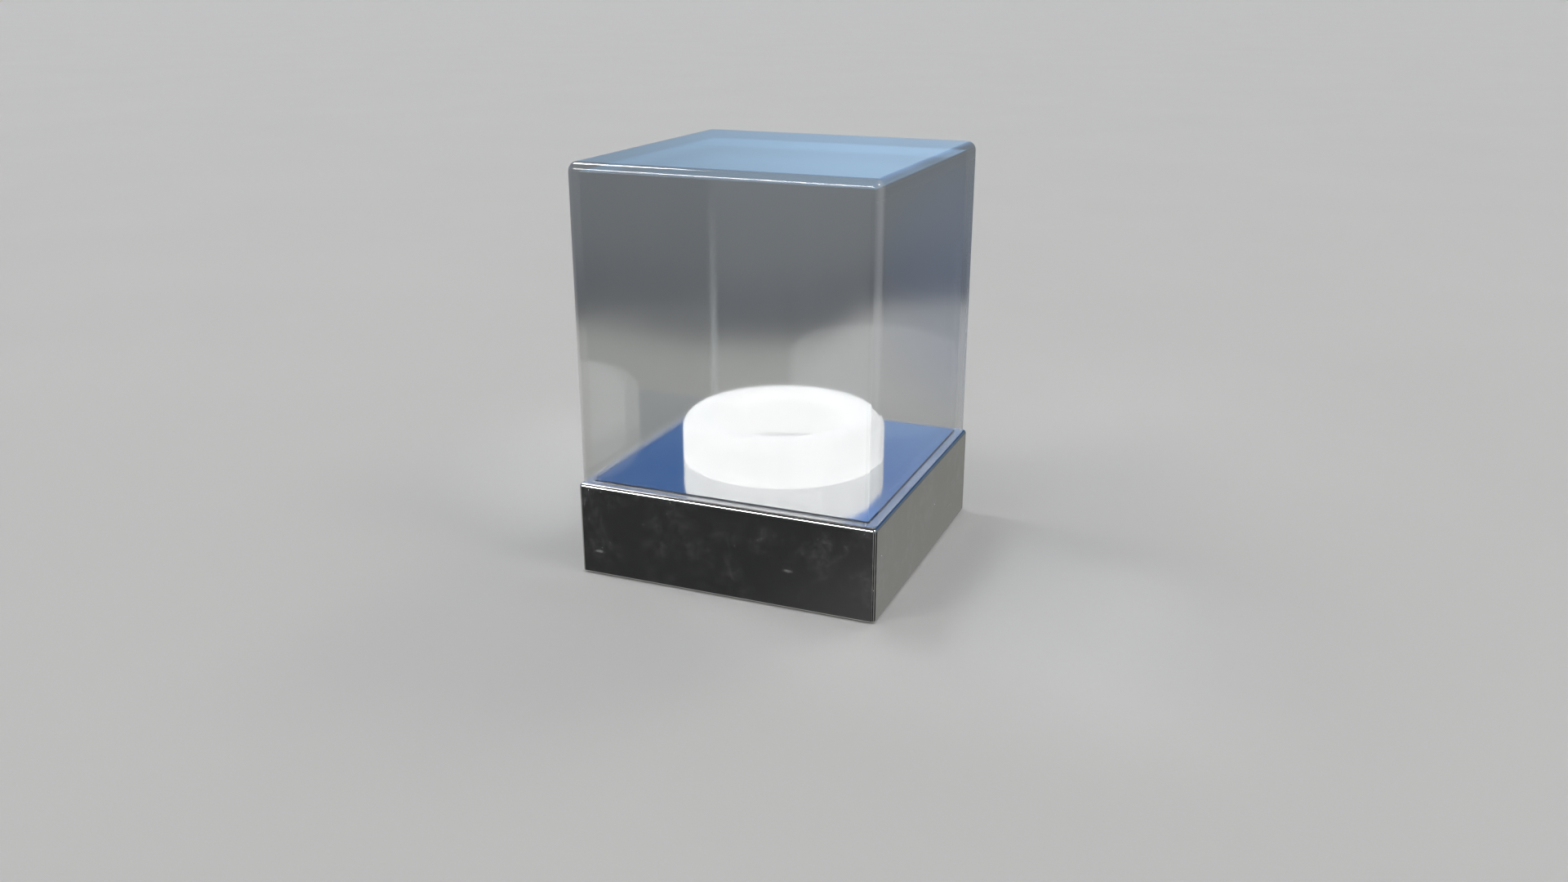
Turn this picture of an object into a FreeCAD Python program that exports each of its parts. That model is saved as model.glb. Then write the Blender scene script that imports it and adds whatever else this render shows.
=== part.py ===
import FreeCAD, Part
import math
import os

# Illuminated display cube: a five-sided acrylic cover stands on a polished metal base that holds
# an opal ring lamp, its driver, its cells and its switch.
# Millimetres. +Z is up, the origin is on the floor under the middle of the base, -Y is the front.

V = FreeCAD.Vector
X_AXIS, Y_AXIS, Z_AXIS = V(1, 0, 0), V(0, 1, 0), V(0, 0, 1)
CORNERS = [(1, 1), (-1, 1), (-1, -1), (1, -1)]
THREAD_GAP = 0.02  # radial gap between a screw and its thread's wall
FIT_GAP = 0.3
THROUGH = 1.0  # how far a hole's cutter runs past each face
SAME = 1e-6
ROUNDING_STEP = 1e-3  # the upper edges' rounding is this much under that of the upright edges it runs into

# ---- base ----
BASE_SIDE = 200.0
BASE_BOTTOM = 1.0  # the base's lower rim, off the floor
BASE_TOP = 61.6  # the ledge that the cover stands on
SHELL_WALL = 2.0
BASE_EDGE_RADIUS = 2.5
BASE_LOWER_RADIUS = 1.0
SHELL_INSIDE = BASE_SIDE / 2 - SHELL_WALL
SHELL_CEILING = BASE_TOP - SHELL_WALL

# ---- cover ----
COVER_INSET = 1.2  # from the base's side to the cover's
COVER_SIDE = BASE_SIDE - 2 * COVER_INSET
COVER_HEIGHT = 202.0
COVER_WALL = 6.0
COVER_EDGE_RADIUS = 5.8
COVER_RIM_RADIUS = 0.5
COVER_INSIDE = COVER_SIDE / 2 - COVER_WALL
COVER_TOP = BASE_TOP + COVER_HEIGHT

# ---- deck: stands just inside the cover and keeps it from sliding ----
DECK_SIDE = 2 * (COVER_INSIDE - FIT_GAP)
DECK_THICKNESS = 1.0
DECK_TOP = BASE_TOP + DECK_THICKNESS
DECK_CORNER_RADIUS = 1.5
DECK_EDGE_RADIUS = 0.3

# ---- ring lamp ----
RING_OUTER = 67.0
RING_INNER = 43.5
RING_HEIGHT = 30.0
RING_ROUNDING = 10.0
RING_WALL = 2.5
RING_MIDDLE = (RING_OUTER + RING_INNER) / 2
BOSS_RADIUS = 3.5
BOSS_ANGLES = [45, 135, 225, 315]
BOSS_PASSAGE = 3.9
PILOT_DEPTH = 14.0
DIFFUSER_SCREW_LENGTH = 14.0
CARRIER_THICKNESS = 3.0
CARRIER_GAP = 0.3
CARRIER_ANGLES = [0, 90, 180, 270]
CARRIER_SCREW_SHORT = 0.2  # the carrier's screws end this far under the lamp board
LED_BOARD_THICKNESS = 1.6
LED_BOARD_INSET = 0.5
LED_COUNT = 24
LED_SIZE = 5.0
LED_HEIGHT = 1.0
LEAD_ANGLE = 157.5
LEAD_RADIUS = 1.6
LEAD_X = RING_MIDDLE * math.cos(math.radians(LEAD_ANGLE))
LEAD_Y = RING_MIDDLE * math.sin(math.radians(LEAD_ANGLE))
CARRIER_TOP = DECK_TOP + CARRIER_THICKNESS
BUSH_HOLE = 4.0
BUSH_BORE = 2.2
BUSH_FLANGE = 6.0
BUSH_FLANGE_THICKNESS = 1.5

# ---- bottom plate, posts and feet ----
PLATE_BOTTOM = 4.5
PLATE_THICKNESS = 2.0
PLATE_TOP = PLATE_BOTTOM + PLATE_THICKNESS
PLATE_HALF = SHELL_INSIDE - FIT_GAP
PLATE_CORNER_RADIUS = 1.0
POST_AT = 92.0
POST_RADIUS = 4.0
POST_THREAD_DEPTH = 14.0
PLATE_SCREW_LENGTH = 12.0
FOOT_AT = 82.0
FOOT_RADIUS = 8.0
FOOT_ROUNDING = 0.8

# ---- battery tray: four D cells side by side, their axes along Y ----
CELL_RADIUS = 17.1
CELL_LENGTH = 59.5
CELL_CAP_RADIUS = 4.75
CELL_CAP_LENGTH = 1.5
CELL_EDGE_RADIUS = 1.2
CELL_PITCH = 34.5
CELL_COUNT = 4
CELL_FLOOR_GAP = 1.0
CELL_AXIS_Z = PLATE_TOP + CELL_FLOOR_GAP + CELL_RADIUS
TRAY_Y = -40.0
TRAY_WALL = 2.0
TRAY_HALF_X = CELL_COUNT * CELL_PITCH / 2
TRAY_HALF_Y = 33.75
TRAY_CEILING = CELL_AXIS_Z + CELL_RADIUS + 0.5
RIB_DEPTH, RIB_WIDTH = 8.0, 1.2
EAR_LENGTH = 10.0
EAR_THICKNESS = 3.0
EAR_OFFSETS = [-20.0, 20.0]
EAR_SCREW_X = TRAY_HALF_X + TRAY_WALL + EAR_LENGTH / 2
CONTACT_THICKNESS = 0.5
CONTACT_WIDTH = 12.0
CONTACT_HEIGHT = 16.0
CONTACT_TIP, CONTACT_ROOT = 1.0, 1.5

# ---- battery door, hinged along X under the bottom plate ----
DOOR_OPENING_HALF_X = 69.0
DOOR_OPENING_FRONT = -72.0
DOOR_OPENING_BACK = -8.0
DOOR_HALF_X = 72.5
DOOR_FRONT = -84.0
DOOR_THICKNESS = 1.5
DOOR_CORNER_RADIUS = 1.0
DOOR_LIP_WIDTH = 24.0
DOOR_LIP_DEPTH = 1.5
HINGE_Y = -2.0
HINGE_Z = 2.8
KNUCKLE_RADIUS = 1.5
KNUCKLE_CLEARANCE = 0.3
KNUCKLE_COUNT = 5
HINGE_HALF_LENGTH = 60.0
HINGE_PIN_RADIUS = 0.6
HINGE_RUNNING_GAP = 0.05
HINGE_FIXED_GAP = 0.02
HINGE_REACH = 1.8  # from the hinge axis to the door's edge and to the leaf's edge
HINGE_WEB_BITE = 0.5  # how far a knuckle's web runs into the door or the leaf
HINGE_WEB_TOP = 4.1
LEAF_DEPTH = 10.0
LEAF_THICKNESS = 1.0
LEAF_SCREW_X = [-45.0, 0.0, 45.0]
LEAF_SCREW_Y = HINGE_Y + 6.5
MAGNET_RADIUS = 4.0
MAGNET_X = 40.0
MAGNET_Y = -79.5

# ---- driver board ----
BOARD_X, BOARD_Y = -45.0, 36.0
BOARD_LENGTH, BOARD_WIDTH, BOARD_THICKNESS = 80.0, 46.0, 1.6
STANDOFF_HEIGHT = 6.0
STANDOFF_RADIUS = 2.75
BOARD_HOLE_INSET = 4.0
BOARD_SCREW_LENGTH = 5.0
BOARD_BOTTOM = PLATE_TOP + STANDOFF_HEIGHT
BOARD_TOP = BOARD_BOTTOM + BOARD_THICKNESS
RING_SOCKET = (-62.0, 31.0)
BATTERY_SOCKET = (-24.0, 22.0)
SWITCH_SOCKET = (-14.0, 42.0)
INDUCTOR_AT = (-43.0, 30.0)
INDUCTOR_RADIUS, INDUCTOR_WAIST, INDUCTOR_HEIGHT, INDUCTOR_FLANGE = 6.0, 4.5, 7.0, 1.5
CAPACITORS_AT = [(-75.0, 24.0), (-75.0, 46.0), (-30.0, 50.0)]
CAPACITOR_RADIUS, CAPACITOR_HEIGHT, CAPACITOR_ROUNDING = 4.0, 11.0, 0.5
CHIP_AT = (-50.0, 48.0)
CHIP_SIZE, CHIP_HEIGHT = 7.0, 1.2
SOCKET_LENGTH, SOCKET_WIDTH, SOCKET_HEIGHT = 8.0, 6.0, 6.0
SOCKET_WALL, SOCKET_FLOOR = 1.2, 1.5
PLUG_LENGTH, PLUG_WIDTH, PLUG_HEIGHT = 7.0, 5.0, 4.0
PLUG_TOP = BOARD_TOP + SOCKET_HEIGHT + PLUG_HEIGHT

# ---- push switch in the back wall ----
SWITCH_X, SWITCH_Z = 60.0, 32.0
SWITCH_HOLE = 6.1
BARREL_RADIUS = 5.9
BEZEL_RADIUS = 8.0
BEZEL_THICKNESS = 1.0
BEZEL_ROUNDING = 0.5
BUTTON_RADIUS = 4.2
BUTTON_BORE = 4.3
BUTTON_PROUD = 1.2
BUTTON_FLANGE = 4.8
BUTTON_FLANGE_BORE = 5.0
BUTTON_FLANGE_FRONT = 98.4
BUTTON_FLANGE_BACK = 95.0
BUTTON_LIP = 98.5
BUTTON_ROUNDING = 0.6
SPRING_RADIUS = 3.0
SPRING_WIRE = 0.3
SPRING_TURNS = 5
BARREL_FLOOR = 84.0
SWITCH_BACK = 70.0
TERMINAL_LENGTH, TERMINAL_WIDTH, TERMINAL_THICKNESS = 6.0, 2.8, 0.8
TERMINAL_OFFSETS = [-1.0, 1.0]
NUT_ACROSS_FLATS = 15.0
NUT_THICKNESS = 3.0

# ---- screws: shank radius, head radius, head height ----
M3 = (1.5, 2.75, 1.2)
M25 = (1.25, 2.2, 1.0)
M4 = (2.0, 3.5, 1.2)
DRIVE_DEPTH_SHARE = 0.6
DRIVE_RADIUS_SHARE = 0.45


def box(x_range, y_range, z_range):
    size = [r[1] - r[0] for r in (x_range, y_range, z_range)]
    return Part.makeBox(*size, V(x_range[0], y_range[0], z_range[0]))


def centred_box(x, y, length, width, z_range):
    return box((x - length / 2, x + length / 2), (y - width / 2, y + width / 2), z_range)


def upright(x, y, radius, z_low, z_high):
    return Part.makeCylinder(radius, z_high - z_low, V(x, y, z_low), Z_AXIS)


def hole(x, y, radius, z_low, z_high):
    """The cutter of an upright hole between two faces."""
    return upright(x, y, radius, z_low - THROUGH, z_high + THROUGH)


def along_y(x, z, radius, y_low, y_high):
    return Part.makeCylinder(radius, y_high - y_low, V(x, y_low, z), Y_AXIS)


def on_ring(radius, angle):
    turn = math.radians(angle)
    return radius * math.cos(turn), radius * math.sin(turn)


def annulus(outer, inner, z_low, z_high):
    return upright(0, 0, outer, z_low, z_high).cut(upright(0, 0, inner, z_low, z_high))


def is_upright(edge):
    box_size = edge.BoundBox
    return box_size.ZLength > max(box_size.XLength, box_size.YLength)


def lies_at(edge, z):
    return abs(edge.BoundBox.ZMin - z) < SAME and abs(edge.BoundBox.ZMax - z) < SAME


def is_circle_at_y(edge, y):
    return len(edge.Vertexes) == 1 and abs(edge.BoundBox.YMin - y) < SAME


def rounded_block(half, z_range, side_radius):
    block = box((-half, half), (-half, half), z_range)
    return block.makeFillet(side_radius, [e for e in block.Edges if is_upright(e)])


def rounded_edges_at(shape, z, radius):
    return shape.makeFillet(radius, [e for e in shape.Edges if lies_at(e, z)])


def screw(x, y, z_face, length, size, upward=True):
    """A pan-head screw whose head bears on z_face, with a hexagon drive sunk in the head."""
    shank, head, height = size
    way = 1 if upward else -1
    low, high = sorted((z_face, z_face + way * length))
    body = upright(x, y, shank - THREAD_GAP, low, high)
    low, high = sorted((z_face - way * height, z_face))
    cap = upright(x, y, head, low, high)
    outer = z_face - way * height
    drive_depth = way * height * DRIVE_DEPTH_SHARE
    drive = hexagon(x, y, head * DRIVE_RADIUS_SHARE, *sorted((outer, outer + drive_depth)))
    return body.fuse(cap).cut(drive)


def hexagon(x, y, radius, z_low, z_high):
    points = [V(x + radius * math.cos(math.pi / 3 * i), y + radius * math.sin(math.pi / 3 * i), z_low)
              for i in range(7)]
    return Part.Face(Part.makePolygon(points)).extrude(V(0, 0, z_high - z_low))


def route(points, radius):
    """A lead of round section: straight runs between the points, joined by tangent arcs."""
    points = [V(*p) for p in points]
    edges = []
    start = points[0]
    for before, corner, after in zip(points, points[1:], points[2:]):
        back = (before - corner).normalize()
        ahead = (after - corner).normalize()
        turn = math.pi - back.getAngle(ahead)
        trim = 0.45 * min(corner.distanceToPoint(before), corner.distanceToPoint(after))
        arc_start, arc_end = corner + back * trim, corner + ahead * trim
        bend = trim / math.tan(turn / 2)
        towards = (back + ahead).normalize()
        arc_middle = corner + towards * (bend / math.cos(turn / 2) - bend)
        edges.append(Part.LineSegment(start, arc_start).toShape())
        edges.append(Part.Arc(arc_start, arc_middle, arc_end).toShape())
        start = arc_end
    edges.append(Part.LineSegment(start, points[-1]).toShape())
    path = Part.Wire(edges)
    section = Part.Wire(Part.makeCircle(radius, points[0], points[1] - points[0]))
    return path.makePipeShell([section], True, False)


# ---- cover ----

def cover_shell():
    side = COVER_SIDE / 2
    outer = rounded_block(side, (BASE_TOP, COVER_TOP), COVER_EDGE_RADIUS)
    outer = rounded_edges_at(outer, COVER_TOP, COVER_EDGE_RADIUS - ROUNDING_STEP)
    outer = rounded_edges_at(outer, BASE_TOP, COVER_RIM_RADIUS)
    hollow = (-COVER_INSIDE, COVER_INSIDE)
    return outer.cut(box(hollow, hollow, (BASE_TOP - THROUGH, COVER_TOP - COVER_WALL)))


def cover_panels():
    """The shell parted along its bond lines: the top lies on four walls, and the side ones fit between."""
    shell = cover_shell()
    side, inside = COVER_SIDE / 2, COVER_INSIDE
    walls = (BASE_TOP, COVER_TOP - COVER_WALL)
    regions = {
        "cover_top_panel": ((-side, side), (-side, side), (COVER_TOP - COVER_WALL, COVER_TOP)),
        "cover_front_panel": ((-side, side), (-side, -inside), walls),
        "cover_back_panel": ((-side, side), (inside, side), walls),
        "cover_left_panel": ((-side, -inside), (-inside, inside), walls),
        "cover_right_panel": ((inside, side), (-inside, inside), walls),
    }
    return {name: shell.common(box(*region)) for name, region in regions.items()}


# ---- base ----

def deck_holes():
    """What passes through the deck and the shell's top: the lamp's screws and its lead."""
    low, high = SHELL_CEILING, DECK_TOP
    holes = [hole(*on_ring(RING_MIDDLE, a), M3[0], low, high) for a in BOSS_ANGLES + CARRIER_ANGLES]
    holes.append(hole(LEAD_X, LEAD_Y, BUSH_HOLE, low, high))
    return holes


def base_shell():
    outer = rounded_block(BASE_SIDE / 2, (BASE_BOTTOM, BASE_TOP), BASE_EDGE_RADIUS)
    outer = rounded_edges_at(outer, BASE_TOP, BASE_EDGE_RADIUS - ROUNDING_STEP)
    outer = rounded_edges_at(outer, BASE_BOTTOM, BASE_LOWER_RADIUS)
    hollow = (-SHELL_INSIDE, SHELL_INSIDE)
    shell = outer.cut(box(hollow, hollow, (BASE_BOTTOM - THROUGH, SHELL_CEILING)))
    switch_hole = along_y(SWITCH_X, SWITCH_Z, SWITCH_HOLE, SHELL_INSIDE - THROUGH, BASE_SIDE / 2 + THROUGH)
    return shell.cut(deck_holes() + [switch_hole])


def mirror_deck():
    plate = rounded_block(DECK_SIDE / 2, (BASE_TOP, DECK_TOP), DECK_CORNER_RADIUS)
    return rounded_edges_at(plate, DECK_TOP, DECK_EDGE_RADIUS).cut(deck_holes())


def bottom_plate():
    plate = rounded_block(PLATE_HALF, (PLATE_BOTTOM, PLATE_TOP), PLATE_CORNER_RADIUS)
    low, high = PLATE_BOTTOM, PLATE_TOP
    door_opening = box((-DOOR_OPENING_HALF_X, DOOR_OPENING_HALF_X), (DOOR_OPENING_FRONT, DOOR_OPENING_BACK),
                       (low - THROUGH, high + THROUGH))
    holes = [hole(POST_AT * sx, POST_AT * sy, M4[0], low, high) for sx, sy in CORNERS]
    holes += [hole(x, y, M3[0], low, high) for x, y in tray_screw_places()]
    holes += [hole(x, LEAF_SCREW_Y, M25[0], low, high) for x in LEAF_SCREW_X]
    holes += [hole(sx * MAGNET_X, MAGNET_Y, MAGNET_RADIUS, low, high) for sx in (-1, 1)]
    return plate.cut([door_opening] + holes)


def corner_posts():
    posts = []
    for sx, sy in CORNERS:
        post = upright(sx * POST_AT, sy * POST_AT, POST_RADIUS, PLATE_TOP, SHELL_CEILING)
        thread_top = PLATE_TOP + POST_THREAD_DEPTH
        thread = upright(sx * POST_AT, sy * POST_AT, M4[0], PLATE_TOP - THROUGH, thread_top)
        posts.append(post.cut(thread))
    return posts


def plate_screws():
    return [screw(sx * POST_AT, sy * POST_AT, PLATE_BOTTOM, PLATE_SCREW_LENGTH, M4) for sx, sy in CORNERS]


def rubber_feet():
    feet = []
    for sx, sy in CORNERS:
        foot = upright(sx * FOOT_AT, sy * FOOT_AT, FOOT_RADIUS, 0, PLATE_BOTTOM)
        feet.append(rounded_edges_at(foot, 0, FOOT_ROUNDING))
    return feet


# ---- ring lamp ----

def ring_half_section(outer, inner, rounding, top):
    """The closed outline, at y = 0, of a ring whose two upper edges are rounded."""
    shoulder = top - rounding
    slant = rounding * math.sqrt(0.5)
    foot_in, side_in, top_in = V(inner, 0, DECK_TOP), V(inner, 0, shoulder), V(inner + rounding, 0, top)
    foot_out, side_out, top_out = V(outer, 0, DECK_TOP), V(outer, 0, shoulder), V(outer - rounding, 0, top)
    mid_in = V(inner + rounding - slant, 0, shoulder + slant)
    mid_out = V(outer - rounding + slant, 0, shoulder + slant)
    edges = [
        Part.LineSegment(foot_in, side_in),
        Part.Arc(side_in, mid_in, top_in),
        Part.LineSegment(top_in, top_out),
        Part.Arc(top_out, mid_out, side_out),
        Part.LineSegment(side_out, foot_out),
        Part.LineSegment(foot_out, foot_in),
    ]
    return Part.Face(Part.Wire([edge.toShape() for edge in edges]))


def ring_diffuser():
    """A channel of opal acrylic, open underneath, with four screw bosses in it."""
    top = DECK_TOP + RING_HEIGHT
    skin = ring_half_section(RING_OUTER, RING_INNER, RING_ROUNDING, top)
    space = ring_half_section(RING_OUTER - RING_WALL, RING_INNER + RING_WALL, RING_ROUNDING - RING_WALL,
                              top - RING_WALL)
    channel = skin.cut(space).revolve(V(0, 0, 0), Z_AXIS, 360)
    for angle in BOSS_ANGLES:
        x, y = on_ring(RING_MIDDLE, angle)
        channel = channel.fuse(upright(x, y, BOSS_RADIUS, DECK_TOP, top - RING_WALL / 2))
    low, high = DECK_TOP - THROUGH, DECK_TOP + PILOT_DEPTH
    return channel.cut([upright(*on_ring(RING_MIDDLE, a), M3[0], low, high) for a in BOSS_ANGLES])


def ring_carrier():
    gap = RING_WALL + CARRIER_GAP
    ring = annulus(RING_OUTER - gap, RING_INNER + gap, DECK_TOP, CARRIER_TOP)
    low, high = DECK_TOP, CARRIER_TOP
    passages = [hole(*on_ring(RING_MIDDLE, a), BOSS_PASSAGE, low, high) for a in BOSS_ANGLES]
    threads = [hole(*on_ring(RING_MIDDLE, a), M3[0], low, high) for a in CARRIER_ANGLES]
    lead_hole = hole(LEAD_X, LEAD_Y, BUSH_HOLE, low, high)
    return ring.cut(passages + threads + [lead_hole])


def led_board():
    gap = RING_WALL + CARRIER_GAP + LED_BOARD_INSET
    top = CARRIER_TOP + LED_BOARD_THICKNESS
    ring = annulus(RING_OUTER - gap, RING_INNER + gap, CARRIER_TOP, top)
    return ring.cut([hole(*on_ring(RING_MIDDLE, a), BOSS_PASSAGE, CARRIER_TOP, top) for a in BOSS_ANGLES])


def led_chips():
    low = CARRIER_TOP + LED_BOARD_THICKNESS
    chip = centred_box(RING_MIDDLE, 0, LED_SIZE, LED_SIZE, (low, low + LED_HEIGHT))
    step = 360 / LED_COUNT
    chips = []
    for i in range(LED_COUNT):
        turned = chip.copy()
        turned.rotate(V(0, 0, 0), Z_AXIS, (i + 0.5) * step)
        chips.append(turned)
    return chips


def diffuser_screws():
    return [screw(*on_ring(RING_MIDDLE, a), SHELL_CEILING, DIFFUSER_SCREW_LENGTH, M3) for a in BOSS_ANGLES]


def carrier_screws():
    length = CARRIER_TOP - SHELL_CEILING - CARRIER_SCREW_SHORT
    return [screw(*on_ring(RING_MIDDLE, a), SHELL_CEILING, length, M3) for a in CARRIER_ANGLES]


def lead_bush():
    flange_bottom = SHELL_CEILING - BUSH_FLANGE_THICKNESS
    body = upright(LEAD_X, LEAD_Y, BUSH_HOLE - THREAD_GAP, SHELL_CEILING, DECK_TOP)
    flange = upright(LEAD_X, LEAD_Y, BUSH_FLANGE, flange_bottom, SHELL_CEILING)
    return body.fuse(flange).cut(hole(LEAD_X, LEAD_Y, BUSH_BORE, flange_bottom, DECK_TOP))


# ---- driver board ----

def board_hole_places():
    dx = BOARD_LENGTH / 2 - BOARD_HOLE_INSET
    dy = BOARD_WIDTH / 2 - BOARD_HOLE_INSET
    return [(BOARD_X + sx * dx, BOARD_Y + sy * dy) for sx, sy in CORNERS]


def driver_board():
    board = centred_box(BOARD_X, BOARD_Y, BOARD_LENGTH, BOARD_WIDTH, (BOARD_BOTTOM, BOARD_TOP))
    return board.cut([hole(x, y, M3[0], BOARD_BOTTOM, BOARD_TOP) for x, y in board_hole_places()])


def board_standoffs():
    standoffs = []
    for x, y in board_hole_places():
        thread = upright(x, y, M3[0], PLATE_TOP + THROUGH, BOARD_BOTTOM + THROUGH)
        standoffs.append(upright(x, y, STANDOFF_RADIUS, PLATE_TOP, BOARD_BOTTOM).cut(thread))
    return standoffs


def board_screws():
    return [screw(x, y, BOARD_TOP, BOARD_SCREW_LENGTH, M3, upward=False) for x, y in board_hole_places()]


def driver_inductor():
    """A bobbin: a winding between two flanges."""
    x, y = INDUCTOR_AT
    top = BOARD_TOP + INDUCTOR_HEIGHT
    lower = upright(x, y, INDUCTOR_RADIUS, BOARD_TOP, BOARD_TOP + INDUCTOR_FLANGE)
    upper = upright(x, y, INDUCTOR_RADIUS, top - INDUCTOR_FLANGE, top)
    winding = upright(x, y, INDUCTOR_WAIST, BOARD_TOP + INDUCTOR_FLANGE, top - INDUCTOR_FLANGE)
    return winding.fuse([lower, upper])


def driver_capacitors():
    top = BOARD_TOP + CAPACITOR_HEIGHT
    cans = []
    for x, y in CAPACITORS_AT:
        can = upright(x, y, CAPACITOR_RADIUS, BOARD_TOP, top)
        cans.append(rounded_edges_at(can, top, CAPACITOR_ROUNDING))
    return cans


def driver_chip():
    return centred_box(*CHIP_AT, CHIP_SIZE, CHIP_SIZE, (BOARD_TOP, BOARD_TOP + CHIP_HEIGHT))


def board_sockets():
    """Open-topped headers: each holds the lower half of its plug."""
    top = BOARD_TOP + SOCKET_HEIGHT
    sockets = []
    for x, y in (RING_SOCKET, BATTERY_SOCKET, SWITCH_SOCKET):
        length, width = SOCKET_LENGTH + 2 * SOCKET_WALL, SOCKET_WIDTH + 2 * SOCKET_WALL
        block = centred_box(x, y, length, width, (BOARD_TOP, top))
        well = centred_box(x, y, SOCKET_LENGTH, SOCKET_WIDTH, (BOARD_TOP + SOCKET_FLOOR, top + THROUGH))
        sockets.append(block.cut(well))
    return sockets


def lead_plugs():
    return [centred_box(x, y, PLUG_LENGTH, PLUG_WIDTH, (BOARD_TOP + SOCKET_FLOOR, PLUG_TOP))
            for x, y in (RING_SOCKET, BATTERY_SOCKET, SWITCH_SOCKET)]


def ring_lead():
    x, y = RING_SOCKET
    return route([
        (LEAD_X, LEAD_Y, CARRIER_TOP),
        (LEAD_X, LEAD_Y, 48),
        (LEAD_X - 5, LEAD_Y + 5, 39),
        (x, y, 34),
        (x, y, PLUG_TOP),
    ], LEAD_RADIUS)


def battery_lead():
    x, y = BATTERY_SOCKET
    return route([
        (-30, TRAY_Y + TRAY_HALF_Y + TRAY_WALL, 30),
        (-30, 6, 30),
        (-29, 14, 37),
        (x, y, 38),
        (x, y, PLUG_TOP),
    ], LEAD_RADIUS)


def switch_lead():
    x, y = SWITCH_SOCKET
    return route([
        (SWITCH_X, SWITCH_BACK - TERMINAL_LENGTH, SWITCH_Z),
        (SWITCH_X, 54, SWITCH_Z),
        (46, 46, 30),
        (24, 47, 28),
        (4, 44, 34),
        (x, y, 38),
        (x, y, PLUG_TOP),
    ], LEAD_RADIUS)


# ---- battery tray ----

def tray_screw_places():
    return [(sx * EAR_SCREW_X, TRAY_Y + dy) for sx in (-1, 1) for dy in EAR_OFFSETS]


def battery_tray():
    """A moulded box, open downwards over the door, with ribs between the cells and four ears."""
    wall_x, wall_y = TRAY_HALF_X + TRAY_WALL, TRAY_HALF_Y + TRAY_WALL
    outer = centred_box(0, TRAY_Y, 2 * wall_x, 2 * wall_y, (PLATE_TOP, TRAY_CEILING + TRAY_WALL))
    space = centred_box(0, TRAY_Y, 2 * TRAY_HALF_X, 2 * TRAY_HALF_Y, (PLATE_TOP - THROUGH, TRAY_CEILING))
    tray = outer.cut(space)
    rib_heights = (TRAY_CEILING - RIB_DEPTH, TRAY_CEILING)
    for i in range(1, CELL_COUNT):
        x = -TRAY_HALF_X + i * CELL_PITCH
        tray = tray.fuse(centred_box(x, TRAY_Y, RIB_WIDTH, 2 * TRAY_HALF_Y, rib_heights))
    ears = [centred_box(x, y, EAR_LENGTH, EAR_LENGTH, (PLATE_TOP, PLATE_TOP + EAR_THICKNESS))
            for x, y in tray_screw_places()]
    threads = [hole(x, y, M3[0], PLATE_TOP, PLATE_TOP + EAR_THICKNESS) for x, y in tray_screw_places()]
    return tray.fuse(ears).cut(threads)


def cell_places():
    """Each cell's X, and which way its cap points: they alternate."""
    first = -TRAY_HALF_X + CELL_PITCH / 2
    return [(first + i * CELL_PITCH, 1 if i % 2 == 0 else -1) for i in range(CELL_COUNT)]


def battery_cells():
    cells = []
    for x, way in cell_places():
        cap_end = TRAY_Y + way * (TRAY_HALF_Y - CONTACT_THICKNESS)
        shoulder = cap_end - way * CELL_CAP_LENGTH
        tail = shoulder - way * CELL_LENGTH
        can = along_y(x, CELL_AXIS_Z, CELL_RADIUS, *sorted((shoulder, tail)))
        can = can.makeFillet(CELL_EDGE_RADIUS, [e for e in can.Edges if len(e.Vertexes) == 1])
        cells.append(can.fuse(along_y(x, CELL_AXIS_Z, CELL_CAP_RADIUS, *sorted((cap_end, shoulder)))))
    return cells


def battery_contacts():
    """A flat strip at each cap, and at each tail a strip with a sprung tongue that leans on the cell."""
    contacts = []
    low, high = CELL_AXIS_Z - CONTACT_HEIGHT / 2, CELL_AXIS_Z + CONTACT_HEIGHT / 2
    half = CONTACT_WIDTH / 2
    gap = 2 * TRAY_HALF_Y - CELL_LENGTH - CELL_CAP_LENGTH - CONTACT_THICKNESS
    for x, way in cell_places():
        cap_wall, tail_wall = TRAY_Y + way * TRAY_HALF_Y, TRAY_Y - way * TRAY_HALF_Y
        width = (x - half, x + half)
        contacts.append(box(width, sorted((cap_wall, cap_wall - way * CONTACT_THICKNESS)), (low, high)))
        strip = box(width, sorted((tail_wall, tail_wall + way * CONTACT_THICKNESS)), (low, high))
        tip = CELL_AXIS_Z + CONTACT_TIP
        outline = [(0, low), (gap, CELL_AXIS_Z), (gap, tip), (gap - CONTACT_THICKNESS, tip),
                   (0, low + CONTACT_ROOT), (0, low)]
        points = [V(x - half, tail_wall + way * y, z) for y, z in outline]
        tongue = Part.Face(Part.makePolygon(points)).extrude(V(CONTACT_WIDTH, 0, 0))
        contacts.append(strip.fuse(tongue))
    return contacts


def tray_screws():
    return [screw(x, y, PLATE_BOTTOM, PLATE_THICKNESS + EAR_THICKNESS, M3) for x, y in tray_screw_places()]


# ---- battery door and its hinge ----

def knuckles(first):
    """Every other knuckle along the hinge, from the first on, with the web that carries each one."""
    pitch = 2 * HINGE_HALF_LENGTH / KNUCKLE_COUNT
    side = -1 if first else 1
    parts = []
    for i in range(first, KNUCKLE_COUNT, 2):
        low = -HINGE_HALF_LENGTH + i * pitch + KNUCKLE_CLEARANCE / 2
        high = low + pitch - KNUCKLE_CLEARANCE
        parts.append(Part.makeCylinder(KNUCKLE_RADIUS, high - low, V(low, HINGE_Y, HINGE_Z), X_AXIS))
        reach = sorted((HINGE_Y, HINGE_Y + side * (HINGE_REACH + HINGE_WEB_BITE)))
        parts.append(box((low, high), reach, (PLATE_BOTTOM - DOOR_THICKNESS, HINGE_WEB_TOP)))
    return parts


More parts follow.
